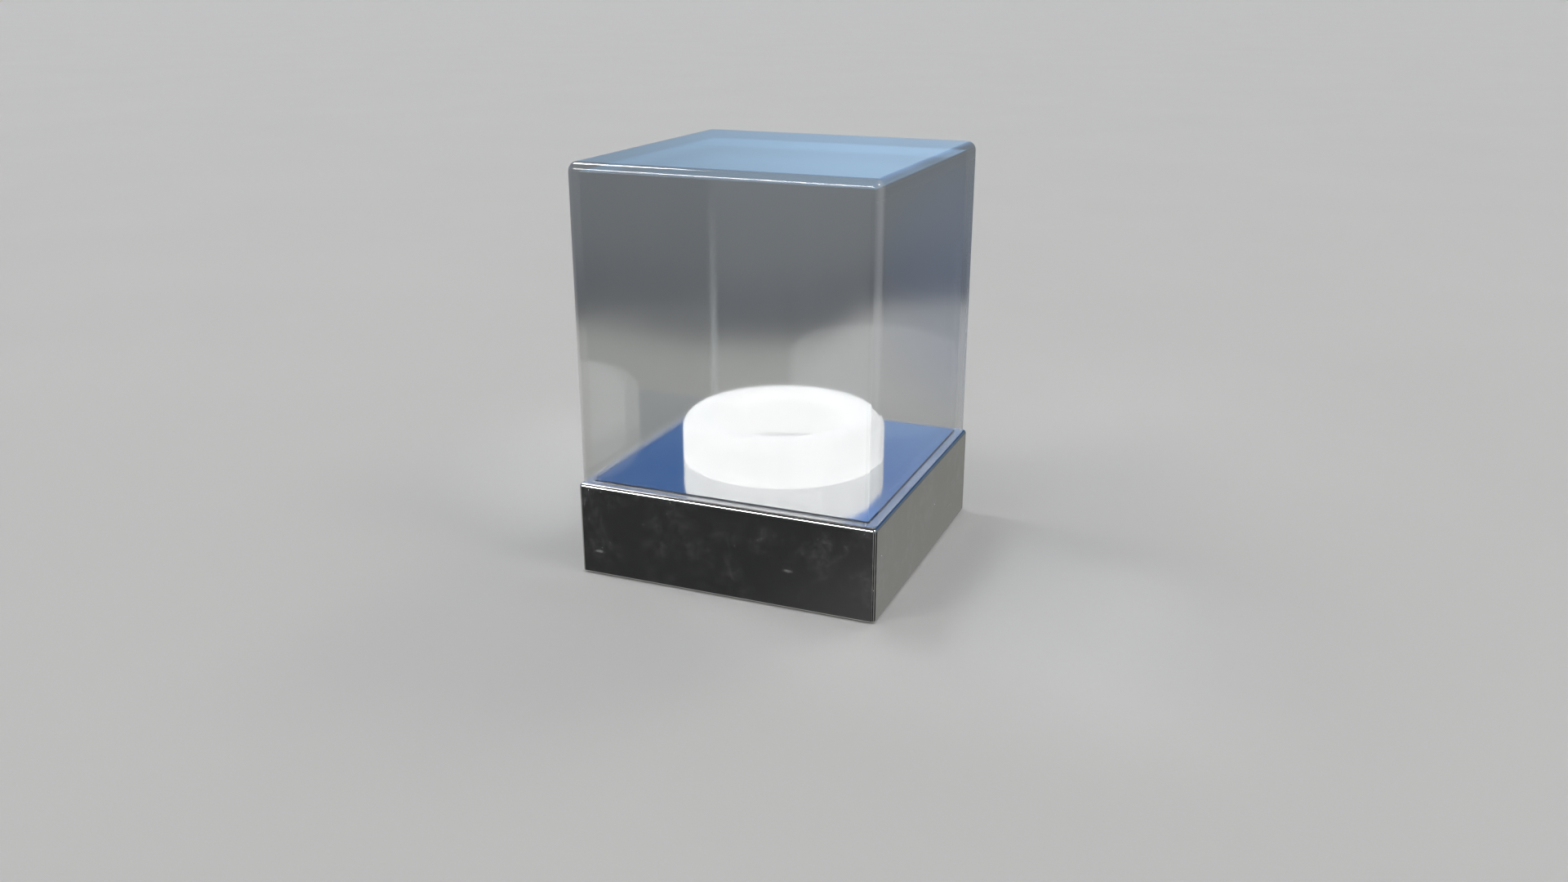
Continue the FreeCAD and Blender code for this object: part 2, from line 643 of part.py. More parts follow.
def hinge_bore(gap):
    length = 2 * HINGE_HALF_LENGTH + 2
    return Part.makeCylinder(HINGE_PIN_RADIUS + gap, length, V(-length / 2, HINGE_Y, HINGE_Z), X_AXIS)


def battery_door():
    """A steel panel under the plate, with knuckles along its back edge and a finger lip along its front."""
    top = PLATE_BOTTOM
    panel = box((-DOOR_HALF_X, DOOR_HALF_X), (DOOR_FRONT, HINGE_Y - HINGE_REACH), (top - DOOR_THICKNESS, top))
    panel = panel.makeFillet(DOOR_CORNER_RADIUS, [e for e in panel.Edges if is_upright(e)])
    lip_top = top - DOOR_THICKNESS
    lip = box((-DOOR_LIP_WIDTH / 2, DOOR_LIP_WIDTH / 2), (DOOR_FRONT, DOOR_FRONT + DOOR_THICKNESS),
              (lip_top - DOOR_LIP_DEPTH, lip_top))
    return panel.fuse([lip] + knuckles(1)).cut(hinge_bore(HINGE_RUNNING_GAP))


def hinge_leaf():
    strip = box((-HINGE_HALF_LENGTH, HINGE_HALF_LENGTH), (HINGE_Y + HINGE_REACH, HINGE_Y + LEAF_DEPTH),
                (PLATE_BOTTOM - LEAF_THICKNESS, PLATE_BOTTOM))
    holes = [hole(x, LEAF_SCREW_Y, M25[0], PLATE_BOTTOM - LEAF_THICKNESS, PLATE_BOTTOM) for x in LEAF_SCREW_X]
    return strip.fuse(knuckles(0)).cut([hinge_bore(HINGE_FIXED_GAP)] + holes)


def hinge_pin():
    start = V(-HINGE_HALF_LENGTH, HINGE_Y, HINGE_Z)
    return Part.makeCylinder(HINGE_PIN_RADIUS, 2 * HINGE_HALF_LENGTH, start, X_AXIS)


def hinge_screws():
    face = PLATE_BOTTOM - LEAF_THICKNESS
    return [screw(x, LEAF_SCREW_Y, face, LEAF_THICKNESS + PLATE_THICKNESS, M25) for x in LEAF_SCREW_X]


def catch_magnets():
    radius = MAGNET_RADIUS - THREAD_GAP
    return [upright(sx * MAGNET_X, MAGNET_Y, radius, PLATE_BOTTOM, PLATE_TOP) for sx in (-1, 1)]


# ---- push switch ----

def switch_body():
    back, front = BASE_SIDE / 2, BASE_SIDE / 2 + BEZEL_THICKNESS
    bezel = along_y(SWITCH_X, SWITCH_Z, BEZEL_RADIUS, back, front)
    bezel = bezel.makeFillet(BEZEL_ROUNDING, [e for e in bezel.Edges if is_circle_at_y(e, front)])
    barrel = along_y(SWITCH_X, SWITCH_Z, BARREL_RADIUS, SWITCH_BACK, back)
    heights = (SWITCH_Z - TERMINAL_WIDTH / 2, SWITCH_Z + TERMINAL_WIDTH / 2)
    middle = SWITCH_BACK - TERMINAL_LENGTH / 2
    terminals = [centred_box(SWITCH_X + dx, middle, TERMINAL_THICKNESS, TERMINAL_LENGTH, heights)
                 for dx in TERMINAL_OFFSETS]
    wide_bore = along_y(SWITCH_X, SWITCH_Z, BUTTON_FLANGE_BORE, BARREL_FLOOR, BUTTON_LIP)
    bore = along_y(SWITCH_X, SWITCH_Z, BUTTON_BORE, BARREL_FLOOR, front + THROUGH)
    return barrel.fuse([bezel] + terminals).cut([wide_bore, bore])


def switch_nut():
    radius = NUT_ACROSS_FLATS / math.sqrt(3)
    bore = hole(0, 0, BARREL_RADIUS + THREAD_GAP, 0, NUT_THICKNESS)
    nut = hexagon(0, 0, radius, 0, NUT_THICKNESS).cut(bore)
    nut.rotate(V(0, 0, 0), X_AXIS, 90)
    nut.translate(V(SWITCH_X, SHELL_INSIDE, SWITCH_Z))
    return nut


def power_button():
    tip = BASE_SIDE / 2 + BEZEL_THICKNESS + BUTTON_PROUD
    stem = along_y(SWITCH_X, SWITCH_Z, BUTTON_RADIUS, BUTTON_FLANGE_BACK, tip)
    stem = stem.makeFillet(BUTTON_ROUNDING, [e for e in stem.Edges if is_circle_at_y(e, tip)])
    return stem.fuse(along_y(SWITCH_X, SWITCH_Z, BUTTON_FLANGE, BUTTON_FLANGE_BACK, BUTTON_FLANGE_FRONT))


def switch_spring():
    length = BUTTON_FLANGE_BACK - BARREL_FLOOR - 2 * SPRING_WIRE
    helix = Part.makeHelix(length / SPRING_TURNS, length, SPRING_RADIUS)
    section = Part.Wire(Part.makeCircle(SPRING_WIRE, V(SPRING_RADIUS, 0, 0), Y_AXIS))
    spring = Part.Wire(helix.Edges).makePipeShell([section], True, True)
    spring.rotate(V(0, 0, 0), X_AXIS, -90)
    spring.translate(V(SWITCH_X, BARREL_FLOOR + SPRING_WIRE, SWITCH_Z))
    return spring


def all_nodes():
    makers = [
        base_shell, mirror_deck, ring_diffuser, ring_carrier, led_board, led_chips,
        diffuser_screws, carrier_screws, lead_bush, ring_lead, driver_board, driver_inductor,
        driver_capacitors, driver_chip, board_sockets, lead_plugs, board_standoffs,
        board_screws, battery_tray, battery_cells, battery_contacts, tray_screws, battery_lead,
        bottom_plate, plate_screws, corner_posts, rubber_feet, battery_door, hinge_leaf,
        hinge_pin, hinge_screws, catch_magnets, switch_body, switch_nut, power_button,
        switch_spring, switch_lead,
    ]
    nodes = {maker.__name__: maker() for maker in makers}
    nodes.update(cover_panels())
    return nodes


def main():
    os.makedirs("parts", exist_ok=True)
    for name, made in all_nodes().items():
        solids = made if isinstance(made, list) else [made]
        shape = Part.makeCompound([s for piece in solids for s in piece.Solids])
        if not shape.isValid() or len(shape.Solids) != len(solids):
            raise ValueError(f"{name} has {len(shape.Solids)} solids, not {len(solids)}, or isn't valid")
        shape.exportStep(f"parts/{name}.step")
        print(f"{name}: {len(shape.Solids)} solids, {shape.Volume / 1000:.2f} cm3")


main()
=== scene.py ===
import math

import bmesh
import bpy
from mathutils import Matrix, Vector


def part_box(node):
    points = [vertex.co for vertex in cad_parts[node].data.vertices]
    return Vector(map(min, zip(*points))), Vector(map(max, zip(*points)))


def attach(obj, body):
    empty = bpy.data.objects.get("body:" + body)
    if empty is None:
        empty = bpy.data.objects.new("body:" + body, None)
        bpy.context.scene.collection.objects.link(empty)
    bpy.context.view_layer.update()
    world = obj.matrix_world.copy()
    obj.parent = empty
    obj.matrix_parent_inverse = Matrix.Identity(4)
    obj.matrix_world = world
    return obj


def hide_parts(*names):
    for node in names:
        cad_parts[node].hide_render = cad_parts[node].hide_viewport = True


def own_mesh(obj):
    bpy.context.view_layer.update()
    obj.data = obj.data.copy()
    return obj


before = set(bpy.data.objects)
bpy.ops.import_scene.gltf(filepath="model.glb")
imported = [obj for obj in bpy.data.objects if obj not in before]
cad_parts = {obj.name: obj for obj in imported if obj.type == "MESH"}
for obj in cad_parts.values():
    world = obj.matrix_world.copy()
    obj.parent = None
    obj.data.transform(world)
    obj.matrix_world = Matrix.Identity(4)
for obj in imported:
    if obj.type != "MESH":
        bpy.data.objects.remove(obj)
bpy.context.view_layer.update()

# Illuminated display cube: the looks, in metres. +Z is up and -Y is the front.

PRINCIPLED = "Principled BSDF"
PANELS = (
    "cover_front_panel",
    "cover_back_panel",
    "cover_left_panel",
    "cover_right_panel",
    "cover_top_panel",
)

# ---- the cover's shape ----

COVER_EDGE = 0.0058  # the rounding of its outer edges
COVER_FILLET = 0.0004  # the glue's rounding in its inner corners
COVER_LIP = 0.0005  # the rounding of the edges round its open side
ARC_STEPS = 10
LEDGE_GAP = 0.0001  # keeps the cover's rim off the metal under it, so that the ledge shows through the rim

# ---- how the acrylic looks ----

ACRYLIC_IOR = 1.005  # low, because the photo shows blur behind the walls but hardly any shift
COAT_IOR = 1.49
COAT_ROUGHNESS = 0.06
HAZE = (0.72, 0.86)  # roughness of clean and of smeared acrylic
SCUFF_ROUGHNESS = 0.2
CLEAR_SIDE = 0.75  # how much of that roughness the right panel lacks
CLEAR_FADE = (0.0895, 0.0925)  # the sideways places between which it goes
CLEAR_DROP = 0.006  # how far under the ceiling it is gone in full
SAWN_RIM = 0.3  # how much of the light its rough lower edge scatters
NICK = 0.25  # and a nick in a face
CORNER = 0.34  # and an upright corner
CORNER_FADE = (0.0940, 0.0965)  # from a face's flat part to the corner's rounding
SHADOW_TINT = (0.8, 0.82, 0.83, 1.0)

# ---- the ring and the switch's spring ----

RING_ROUNDING = 0.010
RING_BAND = 0.0235  # from the ring's outside to its hole
RING_SHINE = 0.76
RING_LAMPS = 24
SPRING_WIRE = 0.0003  # its wire's radius
SPRING_TURNS = 5

# ---- the surroundings, by elevation in degrees or by how far sideways a direction points ----

HORIZON = (
    (-0.497, 0.0395),
    (-0.43, 0.023),
    (-0.362, 0.0235),
    (-0.33, 0.029),
    (-0.31, 0.036),
    (-0.297, 0.049),
    (-0.245, 0.056),
)
HORIZON_LEVEL = 0.030  # the lift in HORIZON that leaves the horizon where ROOM has it
ROOM = (
    (-90, (0.42, 0.42, 0.41)),
    (-40, (0.32, 0.32, 0.31)),
    (-22, (0.28, 0.282, 0.27)),
    (-17, (0.31, 0.312, 0.295)),
    (-15.4, (0.305, 0.31, 0.295)),
    (-14.8, (0.285, 0.288, 0.275)),
    (-14.2, (0.105, 0.110, 0.117)),
    (-13.0, (0.105, 0.113, 0.124)),
    (-11.2, (0.140, 0.151, 0.160)),
    (-8.5, (0.158, 0.170, 0.180)),
    (0, (0.22, 0.25, 0.29)),
    (10, (0.30, 0.33, 0.37)),
    (32, (0.16, 0.16, 0.16)),
    (90, (0.05, 0.05, 0.052)),
)
ROOM_LIGHT = ((-0.50, 0.575), (-0.26, 0.605), (0.16, 0.43))
WINDOW = (
    (0, (0.24, 0.30, 0.38)),
    (8.5, (0.34, 0.53, 0.75)),
    (20, (0.050, 0.165, 0.47)),
    (50, (0.30, 0.40, 0.54)),
    (90, (0.50, 0.50, 0.50)),
)
WINDOW_LIGHT = ((-0.50, 0.45), (-0.26, 0.79), (-0.06, 0.6), (0.16, 0.2))
WINDOW_SIDE = 200  # its azimuth
FLOOR_SLANT = 1.33  # the slope of the lit floor's edge
LIT_FLOOR = (0.41, 0.41, 0.405)
OPEN_SKY = (0.60, 0.60, 0.60)  # what lights dull surfaces
BACKDROP = (0.54, 0.54, 0.54)

# Soft round patches of the surroundings: azimuth, elevation, the dot products where they start and
# where they are full, and their colour.
PATCHES = (
    (167, -12.5, 0.993, 0.999, (0.13, 0.165, 0.25)),
    (-22.5, -20, 0.72, 0.88, (0.030, 0.031, 0.032)),
    (42, -18, 0.93, 0.965, (0.02, 0.02, 0.02)),
    (110, -18, 0.88, 0.94, (0.02, 0.02, 0.02)),
    (-13, -34, 0.973, 0.998, (0.085, 0.085, 0.087)),
    (14, -19, 0.993, 0.998, (0.6, 0.6, 0.6)),
    (62, 50, 0.985, 0.990, (20, 20, 20)),
    (-112, 52, 0.985, 0.990, (20, 20, 20)),
)

# Lit panels in front: azimuth, elevation, the dot product at their sides, the heights of their bottom
# and top, the softness of their edges, and their colour.
PANELS_OF_LIGHT = (
    (-24, 0, 0.9, (-0.02, 0.12), 0.03, (0.2, 0.2, 0.2)),
    (-24, 27, 0.968, (0.405, 0.510), 0.004, (26, 26, 26)),
)

# ---- lamps and camera ----

LAMP_AZIMUTHS = (("back", 153), ("left", -97), ("right", 85), ("front", -40))
LAMP_ELEVATION = 48
LAMP_STRENGTH = 0.4
LAMP_SPREAD = 16  # the lamp's width in degrees
FLOOR_REACH = 80.0
AIM = Vector((0.0, 0.0009, 0.0710))
PHOTO_SIDE = (22.45, 19.13)  # azimuth and elevation of the photo's camera
CAMERA_DISTANCE = 0.9054
CAMERA_LENS = 30.9
SENSOR_WIDTH = 36.0

# ---- node trees ----


class Paint:
    """A node tree with short calls for the nodes used here. Lengths are in the object's own metres."""

    def __init__(self, owner, coordinates="Object"):
        self.owner = owner
        self.tree = owner.node_tree
        self.where = self.add("ShaderNodeTexCoord").outputs[coordinates]

    def add(self, kind, **settings):
        node = self.tree.nodes.new(kind)
        for key, value in settings.items():
            setattr(node, key, value)
        return node

    def plug(self, socket, value):
        if isinstance(value, bpy.types.NodeSocket):
            self.tree.links.new(value, socket)
        else:
            socket.default_value = value

    def math(self, operation, a, b=0.0):
        node = self.add("ShaderNodeMath", operation=operation)
        self.plug(node.inputs[0], a)
        self.plug(node.inputs[1], b)
        return node.outputs[0]

    def product(self, first, *others):
        for other in others:
            first = self.math("MULTIPLY", first, other)
        return first

    def largest(self, first, *others):
        for other in others:
            first = self.math("MAXIMUM", first, other)
        return first

    def vector(self, operation, a, b, output="Vector"):
        node = self.add("ShaderNodeVectorMath", operation=operation)
        self.plug(node.inputs[0], a)
        self.plug(node.inputs[1], b)
        return node.outputs[output]

    def nearness(self, towards):
        """The dot product of where and a direction."""
        return self.vector("DOT_PRODUCT", self.where, tuple(towards), "Value")

    def times(self, colour, factor):
        node = self.add("ShaderNodeVectorMath", operation="SCALE")
        self.plug(node.inputs[0], colour)
        self.plug(node.inputs["Scale"], factor)
        return node.outputs[0]

    def parts(self):
        """x, y and z of where."""
        node = self.add("ShaderNodeSeparateXYZ")
        self.plug(node.inputs[0], self.where)
        return node.outputs

    def scaled(self, stretch):
        return self.vector("MULTIPLY", self.where, stretch)

    def noise(self, size, detail=3.0, roughness=0.55, stretch=(1, 1, 1), twist=0.0):
        """Noise from 0 to 1 whose patches are about size across."""
        node = self.add("ShaderNodeTexNoise")
        self.plug(node.inputs["Vector"], self.scaled(stretch))
        node.inputs["Scale"].default_value = 1.0 / size
        node.inputs["Detail"].default_value = detail
        node.inputs["Roughness"].default_value = roughness
        node.inputs["Distortion"].default_value = twist
        return node.outputs[0]

    def cells(self, size, stretch=(1, 1, 1), spread=1.0):
        """The distance to the nearest of many points that are about size apart, in sizes."""
        node = self.add("ShaderNodeTexVoronoi")
        self.plug(node.inputs["Vector"], self.scaled(stretch))
        node.inputs["Scale"].default_value = 1.0 / size
        node.inputs["Randomness"].default_value = spread
        return node.outputs["Distance"]

    def bands(self, size, direction, twist=0.0):
        node = self.add("ShaderNodeTexWave", wave_type="BANDS", bands_direction=direction)
        self.plug(node.inputs["Vector"], self.where)
        node.inputs["Scale"].default_value = 0.314 / size
        node.inputs["Distortion"].default_value = twist
        return node.outputs["Fac"]

    def span(self, value, start, end, low=0.0, high=1.0, smooth=False):
        """value from start to end becomes low to high, and stays inside them."""
        kind = "SMOOTHSTEP" if smooth else "LINEAR"
        node = self.add("ShaderNodeMapRange", interpolation_type=kind)
        self.plug(node.inputs["Value"], value)
        node.inputs["From Min"].default_value = start
        node.inputs["From Max"].default_value = end
        node.inputs["To Min"].default_value = low
        node.inputs["To Max"].default_value = high
        return node.outputs[0]

    def ramp(self, value, stops):
        node = self.add("ShaderNodeValToRGB")
        self.plug(node.inputs[0], value)
        points = node.color_ramp.elements
        while len(points) < len(stops):
            points.new(0.5)
        for point, (at, colour) in zip(points, stops):
            point.position = at
            point.color = (*colour, 1.0)
        return node.outputs[0]

    def mix(self, amount, a, b):
        """Colour a, or b where amount is 1."""
        node = self.add("ShaderNodeMix", data_type="RGBA")
        self.plug(node.inputs["Factor"], amount)
        for socket, value in zip((node.inputs[6], node.inputs[7]), (a, b)):
            self.plug(socket, (*value, 1.0) if isinstance(value, tuple) else value)
        return node.outputs[2]

    def mixed_number(self, amount, a, b):
        node = self.add("ShaderNodeMix", data_type="FLOAT")
        self.plug(node.inputs["Factor"], amount)
        self.plug(node.inputs[2], a)
        self.plug(node.inputs[3], b)
        return node.outputs[0]

    def bump(self, height, depth, strength=1.0):
        """A bump of that depth in metres."""
        node = self.add("ShaderNodeBump")
        self.plug(node.inputs["Height"], height)
        node.inputs["Distance"].default_value = depth
        node.inputs["Strength"].default_value = strength
        return node.outputs[0]


def new_material(name):
    material = bpy.data.materials.new(name)
    material.use_nodes = True
    return material


def surface(paint, **values):
    """Sets the shader's sockets. Spaces in their names are underscores here."""
    shader = paint.tree.nodes[PRINCIPLED]
    for key, value in values.items():
        socket = shader.inputs[key.replace("_", " ")]
        if isinstance(value, tuple) and len(value) == 3:
            value = (*value, 1.0)
        paint.plug(socket, value)


# ---- the cover's acrylic ----


def acrylic_roughness(paint, smears):
    """Smeared and scuffed all over, but clearer on the right panel under the ceiling."""
    place = paint.parts()
    scratches = paint.cells(0.045, (1, 1, 3.2))
    scuffs = paint.product(paint.span(scratches, 0.0, 0.035, 1.0, 0.0), SCUFF_ROUGHNESS)
    haze = paint.math("ADD", paint.span(smears, 0.35, 0.75, *HAZE), scuffs)
    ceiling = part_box("cover_top_panel")[0].z
    clearer = paint.product(
        paint.span(place["X"], *CLEAR_FADE, 0.0, CLEAR_SIDE),
        paint.span(place["Z"], ceiling, ceiling - CLEAR_DROP),
    )
    return paint.product(haze, paint.math("SUBTRACT", 1.0, clearer))


def acrylic_film(paint):
    """How much light the surface scatters: at the sawn rim, in nicks and along the upright corners."""
    x, y, z = paint.parts()
    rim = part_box("cover_front_panel")[0].z + LEDGE_GAP
    sawn = paint.span(z, rim + 0.0003, rim + 0.0001, 0.0, SAWN_RIM)
    nicks = paint.product(paint.span(paint.cells(0.05, (1, 1, 1.6)), 0.0, 0.022, 1.0, 0.0), NICK)
    inward = paint.math("MINIMUM", paint.math("ABSOLUTE", x), paint.math("ABSOLUTE", y))
    front_right = paint.span(paint.math("SUBTRACT", x, y), 0.15, 0.18)
    strong_below = paint.span(z, 0.22, 0.15, 0.15, 1.0)
    weak_above = paint.span(z, 0.11, 0.16, 0.0, 0.45)
    along = paint.mixed_number(front_right, strong_below, weak_above)
    corner = paint.product(paint.span(inward, *CORNER_FADE, 0.0, CORNER), along)
    return paint.largest(sawn, nicks, corner)


def shadow_passes(paint):
    """Shadow rays go straight through the material."""
    tree = paint.tree
    through = paint.add("ShaderNodeBsdfTransparent")
    through.inputs[0].default_value = SHADOW_TINT
    path = paint.add("ShaderNodeLightPath")
    either = paint.add("ShaderNodeMixShader")
    paint.plug(either.inputs[0], path.outputs["Is Shadow Ray"])
    paint.plug(either.inputs[1], tree.nodes[PRINCIPLED].outputs[0])
    paint.plug(either.inputs[2], through.outputs[0])
    paint.plug(tree.nodes["Material Output"].inputs["Surface"], either.outputs[0])


def acrylic():
    """Cast acrylic with polished outer faces, hazed by cleaning and handling."""
    paint = Paint(new_material("clear_acrylic"))
    smears = paint.noise(0.055, 4.0, 0.6, (1, 1, 0.55), 0.8)
    surface(
        paint,
        Base_Color=paint.mix(smears, (0.955, 0.965, 0.97), (0.985, 0.99, 0.995)),
        Roughness=acrylic_roughness(paint, smears),
        Normal=paint.bump(paint.noise(0.0016, 2.0, 0.5), 0.000002),
        IOR=ACRYLIC_IOR,
        Transmission_Weight=paint.math("SUBTRACT", 1.0, acrylic_film(paint)),
        Coat_Weight=1.0,
        Coat_Roughness=COAT_ROUGHNESS,
        Coat_IOR=COAT_IOR,
    )
    shadow_passes(paint)
    return paint.owner


# ---- metals ----


def chrome():
    """Polished steel with cloudy wiping marks, dried specks and fine hairlines."""
    paint = Paint(new_material("polished_steel"))
    clouds = paint.noise(0.022, 5.0, 0.7, (1, 1, 1), 0.3)
    blots = paint.noise(0.005, 4.0, 0.7)
    cloud = paint.product(paint.span(clouds, 0.44, 0.70, smooth=True), paint.span(blots, 0.3, 0.7))
    specks = paint.span(paint.cells(0.034, (0.55, 0.55, 1.8)), 0.02, 0.075, 1.0, 0.0)
    hairlines = paint.noise(0.0007, 2.0, 0.5, (1, 1, 40))
    film = paint.math("ADD", paint.product(cloud, 0.055), paint.product(specks, 0.14))
    surface(
        paint,
        Base_Color=paint.mix(cloud, (0.70, 0.695, 0.68), (0.78, 0.78, 0.785)),
        Metallic=paint.math("SUBTRACT", 0.99, film),
        Roughness=paint.math("ADD", paint.span(cloud, 0.0, 0.6, 0.05, 0.2), paint.product(specks, 0.3)),
        Normal=paint.bump(hairlines, 0.000002, 0.5),
    )
    return paint.owner


def mirror():
    """The deck's bluish mirror plate: a bloom of dust and wiping marks, and a thin dark line along its edge.
    """
    paint = Paint(new_material("mirror_plate"))
    place = paint.parts()
    clouds = paint.noise(0.05, 4.0, 0.6, (1, 1, 1), 0.5)
    dust = paint.cells(0.004)
    plate = paint.mix(paint.span(clouds, 0.4, 0.7), (0.715, 0.725, 0.735), (0.745, 0.752, 0.76))
    across = paint.largest(paint.math("ABSOLUTE", place["X"]), paint.math("ABSOLUTE", place["Y"]))
    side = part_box("mirror_deck")[1].x
    # The plate's colour turns dark in a thin line just inside its edge.
    dark_edge_line = paint.span(across, side - 0.0006, side - 0.0002)
    rough = paint.math(
        "ADD",
        paint.span(clouds, 0.4, 0.75, 0.07, 0.15),
        paint.span(dust, 0.0, 0.1, 0.15, 0.0),
    )
    surface(
        paint,
        Base_Color=paint.mix(dark_edge_line, plate, (0.03, 0.04, 0.06)),
        Metallic=1.0,
        Roughness=rough,
        Normal=paint.bump(paint.noise(0.02, 2.0), 0.000012),
    )
    return paint.owner


def metal(name, colour, worn, low, high, grain=0.0004, stretch=(1, 1, 1), depth=0.00002):
    """A plain metal whose colour, gloss and surface vary with handling. Its roughness is low to high."""
    paint = Paint(new_material(name))
    wear = paint.noise(0.009, 4.0, 0.6)
    fine = paint.noise(grain, 3.0, 0.6, stretch)
    mixed = paint.product(wear, fine)
    surface(
        paint,
        Base_Color=paint.mix(paint.span(mixed, 0.12, 0.42), colour, worn),
        Metallic=1.0,
        Roughness=paint.span(mixed, 0.1, 0.45, low, high),
        Normal=paint.bump(fine, depth),
    )
    return paint.owner


# ---- the ring ----


def opal():
    """Opal acrylic lit from inside: dimmer on its top and in its hole, brighter over each lamp."""
    paint = Paint(new_material("opal_acrylic"))
    x, y, z = paint.parts()
    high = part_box("ring_diffuser")[1]
    hole = high.x - RING_BAND
    level = paint.vector("MULTIPLY", paint.where, (1, 1, 0))
    radius = paint.vector("LENGTH", level, (0, 0, 0), "Value")
    height = paint.span(z, high.z - RING_ROUNDING, high.z, 1.08, 0.905, smooth=True)
    inside = paint.span(radius, hole + 0.0003, hole + 0.001, 0.85, 1.0)
    cloud = paint.span(paint.noise(0.018, 3.0), 0.3, 0.7, 0.97, 1.03)
    lamps = paint.math("COSINE", paint.product(paint.math("ARCTAN2", y, x), RING_LAMPS))
    ripple = paint.span(lamps, -1.0, 1.0, 0.985, 1.015)
    surface(
        paint,
        Base_Color=paint.mix(cloud, (0.36, 0.36, 0.356), (0.40, 0.40, 0.396)),
        Roughness=paint.span(paint.noise(0.006), 0.3, 0.7, 0.5, 0.62),
        Emission_Color=(1.0, 0.995, 0.985),
        Emission_Strength=paint.product(height, cloud, ripple, inside, RING_SHINE),
        Normal=paint.bump(paint.noise(0.0012, 2.0), 0.000015),
    )
    return paint.owner


# ---- plastics, paint, rubber and boards ----


def plastic(name, colour, second, low, high, grain=0.0007, depth=0.00002):
    """Moulded plastic, paint or rubber: fine grain and rubbed patches. Its roughness is low to high."""
    paint = Paint(new_material(name))
    patches = paint.noise(0.014, 4.0, 0.6)
    fine = paint.noise(grain, 2.0, 0.6)
    surface(
        paint,
        Base_Color=paint.mix(paint.span(patches, 0.35, 0.7), colour, second),
        Roughness=paint.span(patches, 0.3, 0.72, low, high),
        Normal=paint.bump(fine, depth),
    )
    return paint.owner


def circuit(name, mask, track):
    """A board's solder mask with its tracks showing faintly through it."""
    paint = Paint(new_material(name))
    tracks = paint.span(paint.cells(0.0045, spread=0.0), 0.34, 0.4)
    islands = paint.span(paint.noise(0.02, 1.0), 0.48, 0.52)
    copper = paint.product(tracks, islands)
    flecks = paint.noise(0.0012, 3.0)
    surface(
        paint,
        Base_Color=paint.mix(copper, paint.mix(flecks, mask, track), track),
        Roughness=paint.span(flecks, 0.3, 0.7, 0.28, 0.42),
        Normal=paint.bump(copper, 0.00003),
    )
    return paint.owner


def winding():
    """Enamelled copper wire, wound round Z, with painted shade in the grooves between its turns."""
    paint = Paint(new_material("wound_copper"))
    # The dark colour of each band is painted shade in the groove between two turns.
    turns = paint.bands(0.0009, "Z", 0.3)
    surface(
        paint,
        Base_Color=paint.mix(turns, (0.36, 0.14, 0.05), (0.80, 0.42, 0.22)),
        Metallic=1.0,
        Roughness=paint.span(paint.noise(0.003), 0.3, 0.7, 0.25, 0.4),
        Normal=paint.bump(turns, 0.0002),
    )
    return paint.owner


def jacket():
    """Printed cell jackets: dark, with a copper band at one end and bare metal at both."""
    paint = Paint(new_material("cell_jacket"))
    low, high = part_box("battery_cells")
    along = paint.span(paint.parts()["Y"], low.y, high.y)
    copper = paint.span(along, 0.735, 0.74)
    bare = paint.largest(paint.span(along, 0.955, 0.96), paint.span(along, 0.045, 0.04))
    smudge = paint.noise(0.012, 4.0)
    dark = paint.mix(smudge, (0.035, 0.04, 0.05), (0.055, 0.062, 0.075))
    printed = paint.mix(copper, dark, (0.62, 0.30, 0.12))
    surface(
        paint,
        Base_Color=paint.mix(bare, printed, (0.72, 0.71, 0.68)),
        Metallic=paint.largest(copper, bare),
        Roughness=paint.span(smudge, 0.3, 0.7, 0.2, 0.38),
        Normal=paint.bump(paint.noise(0.001), 0.00001),
    )
    return paint.owner


# ---- the floor's paper ----


def paper():
    paint = Paint(new_material("studio_paper"))
    mottle = paint.noise(0.35, 3.0)
    surface(
        paint,
        Base_Color=paint.mix(mottle, (0.50, 0.50, 0.495), (0.53, 0.53, 0.525)),
        Roughness=0.9,
        Normal=paint.bump(paint.noise(0.002, 2.0), 0.00003),
    )
    return paint.owner


# ---- meshes ----


def outline(half, radius, z):
    """A square of that half side with rounded corners, counter-clockwise."""
    points = []
    for corner in range(4):
        start = corner * math.pi / 2
        sx = 1 if corner in (0, 3) else -1
        sy = 1 if corner in (0, 1) else -1
        for step in range(ARC_STEPS + 1):
            angle = start + step / ARC_STEPS * math.pi / 2
            x = sx * (half - radius) + radius * math.cos(angle)
            y = sy * (half - radius) + radius * math.sin(angle)
            points.append((x, y, z))
    return points


def loft(name, loops):
    """A closed mesh through loops of equal length, with a flat face over its first and last loop."""
    mesh = bmesh.new()
    rings = [[mesh.verts.new(point) for point in loop] for loop in loops]
    for lower, upper in zip(rings, rings[1:]):
        for index in range(len(lower)):
            after = (index + 1) % len(lower)
            mesh.faces.new((lower[index], lower[after], upper[after], upper[index]))
    mesh.faces.new(reversed(rings[0]))
    mesh.faces.new(rings[-1])
    bmesh.ops.remove_doubles(mesh, verts=mesh.verts, dist=1e-7)
    bmesh.ops.recalc_face_normals(mesh, faces=mesh.faces)
    data = bpy.data.meshes.new(name)
    mesh.to_mesh(data)
    mesh.free()
    for polygon in data.polygons:
        polygon.use_smooth = True
    made = bpy.data.objects.new(name, data)
    bpy.context.scene.collection.objects.link(made)
    return made


def weighted(piece):
    """Flat faces stay flat up to their edges, and the roundings between them run smooth."""
    modifier = piece.modifiers.new("even_shading", "WEIGHTED_NORMAL")
    modifier.mode = "FACE_AREA"
    modifier.weight = 100
    modifier.keep_sharp = True


